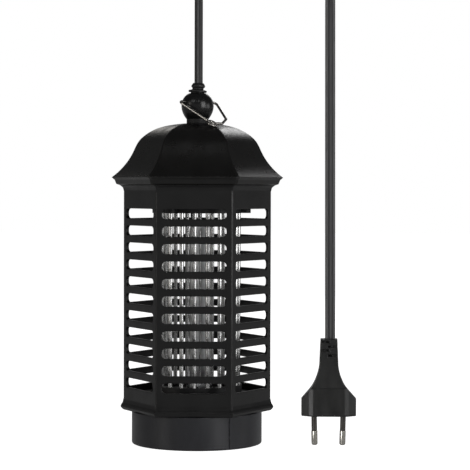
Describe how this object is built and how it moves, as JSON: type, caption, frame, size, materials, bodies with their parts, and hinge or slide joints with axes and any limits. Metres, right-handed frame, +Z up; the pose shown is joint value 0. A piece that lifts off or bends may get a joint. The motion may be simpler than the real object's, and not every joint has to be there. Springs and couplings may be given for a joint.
{
  "type": "electric bug zapper",
  "caption": "Hexagonal slotted lantern that draws insects to an ultraviolet lamp and wire grid, with a twist-off catch tray, a folding hanging bail and a cord with plug.",
  "frame": {"origin": "centre of the flat underside of the catch tray", "axes": "+Z up along the lantern's axis, -Y out of the front face of the hexagon, +X towards the side the plug hangs on"},
  "size_m": [0.1658, 0.1396, 0.3679],
  "materials": {
    "cage_plastic": "satin near-black injection moulding",
    "roof_plastic": "satin near-black injection moulding",
    "tray_plastic": "glossy blue-grey black",
    "finial_plastic": "glossy black",
    "bail_wire": "bright plated wire",
    "bush_rubber": "matt black rubber",
    "cord_sheath": "satin black cable sheath",
    "core_sheath": "coloured core insulation",
    "insulator": "matt dark moulding",
    "grid_steel": "drawn steel wire",
    "lamp_glass": "clear tube with a pale coating",
    "cap_metal": "satin cap",
    "socket_plastic": "white lamp socket",
    "contact_brass": "plain brass contact",
    "board_laminate": "green laminate",
    "screw_steel": "zinc plated",
    "capacitor_film": "dipped film",
    "diode_resin": "moulded resin",
    "resistor_film": "lacquered film",
    "plug_plastic": "satin black moulded plug",
    "pin_metal": "nickel plated",
    "sleeve_plastic": "matt black sleeve"
  },
  "bodies": {
    "lantern": {"housing": "cage_plastic", "roof": "roof_plastic", "head_screws": "screw_steel", "finial": "finial_plastic", "finial_nut": "insulator", "cord_bush": "bush_rubber", "top_insulator": "insulator", "bottom_insulator": "insulator", "plate_screws": "screw_steel", "grid_live": "grid_steel", "grid_neutral": "grid_steel", "grid_leads": "core_sheath", "lamp_tube": "lamp_glass", "lamp_cap": "cap_metal", "lamp_pins": "contact_brass", "lamp_socket": "socket_plastic", "lead_tube": "insulator", "lamp_leads": "core_sheath", "circuit_board": "board_laminate", "board_screws": "screw_steel", "capacitors": "capacitor_film", "diodes": "diode_resin", "resistors": "resistor_film", "cord": "cord_sheath", "cord_clamp": "insulator", "clamp_screws": "screw_steel", "cord_cores": "core_sheath", "plug_body": "plug_plastic", "plug_pins": "pin_metal", "pin_sleeves": "sleeve_plastic"},
    "tray": {"tray": "tray_plastic"},
    "bail": {"bail": "bail_wire"}
  },
  "joints": [
    {"name": "bail_hinge", "type": "hinge", "parent": "lantern", "child": "bail", "pos_m": [0, 0, 0.2351], "axis": [-0.7361, -0.6769, 0], "range_deg": [0, 105]},
    {"name": "tray_twist", "type": "hinge", "parent": "lantern", "child": "tray", "pos_m": [0, 0, 0.0225], "axis": [0, 0, 1], "range_deg": [0, 20]}
  ]
}
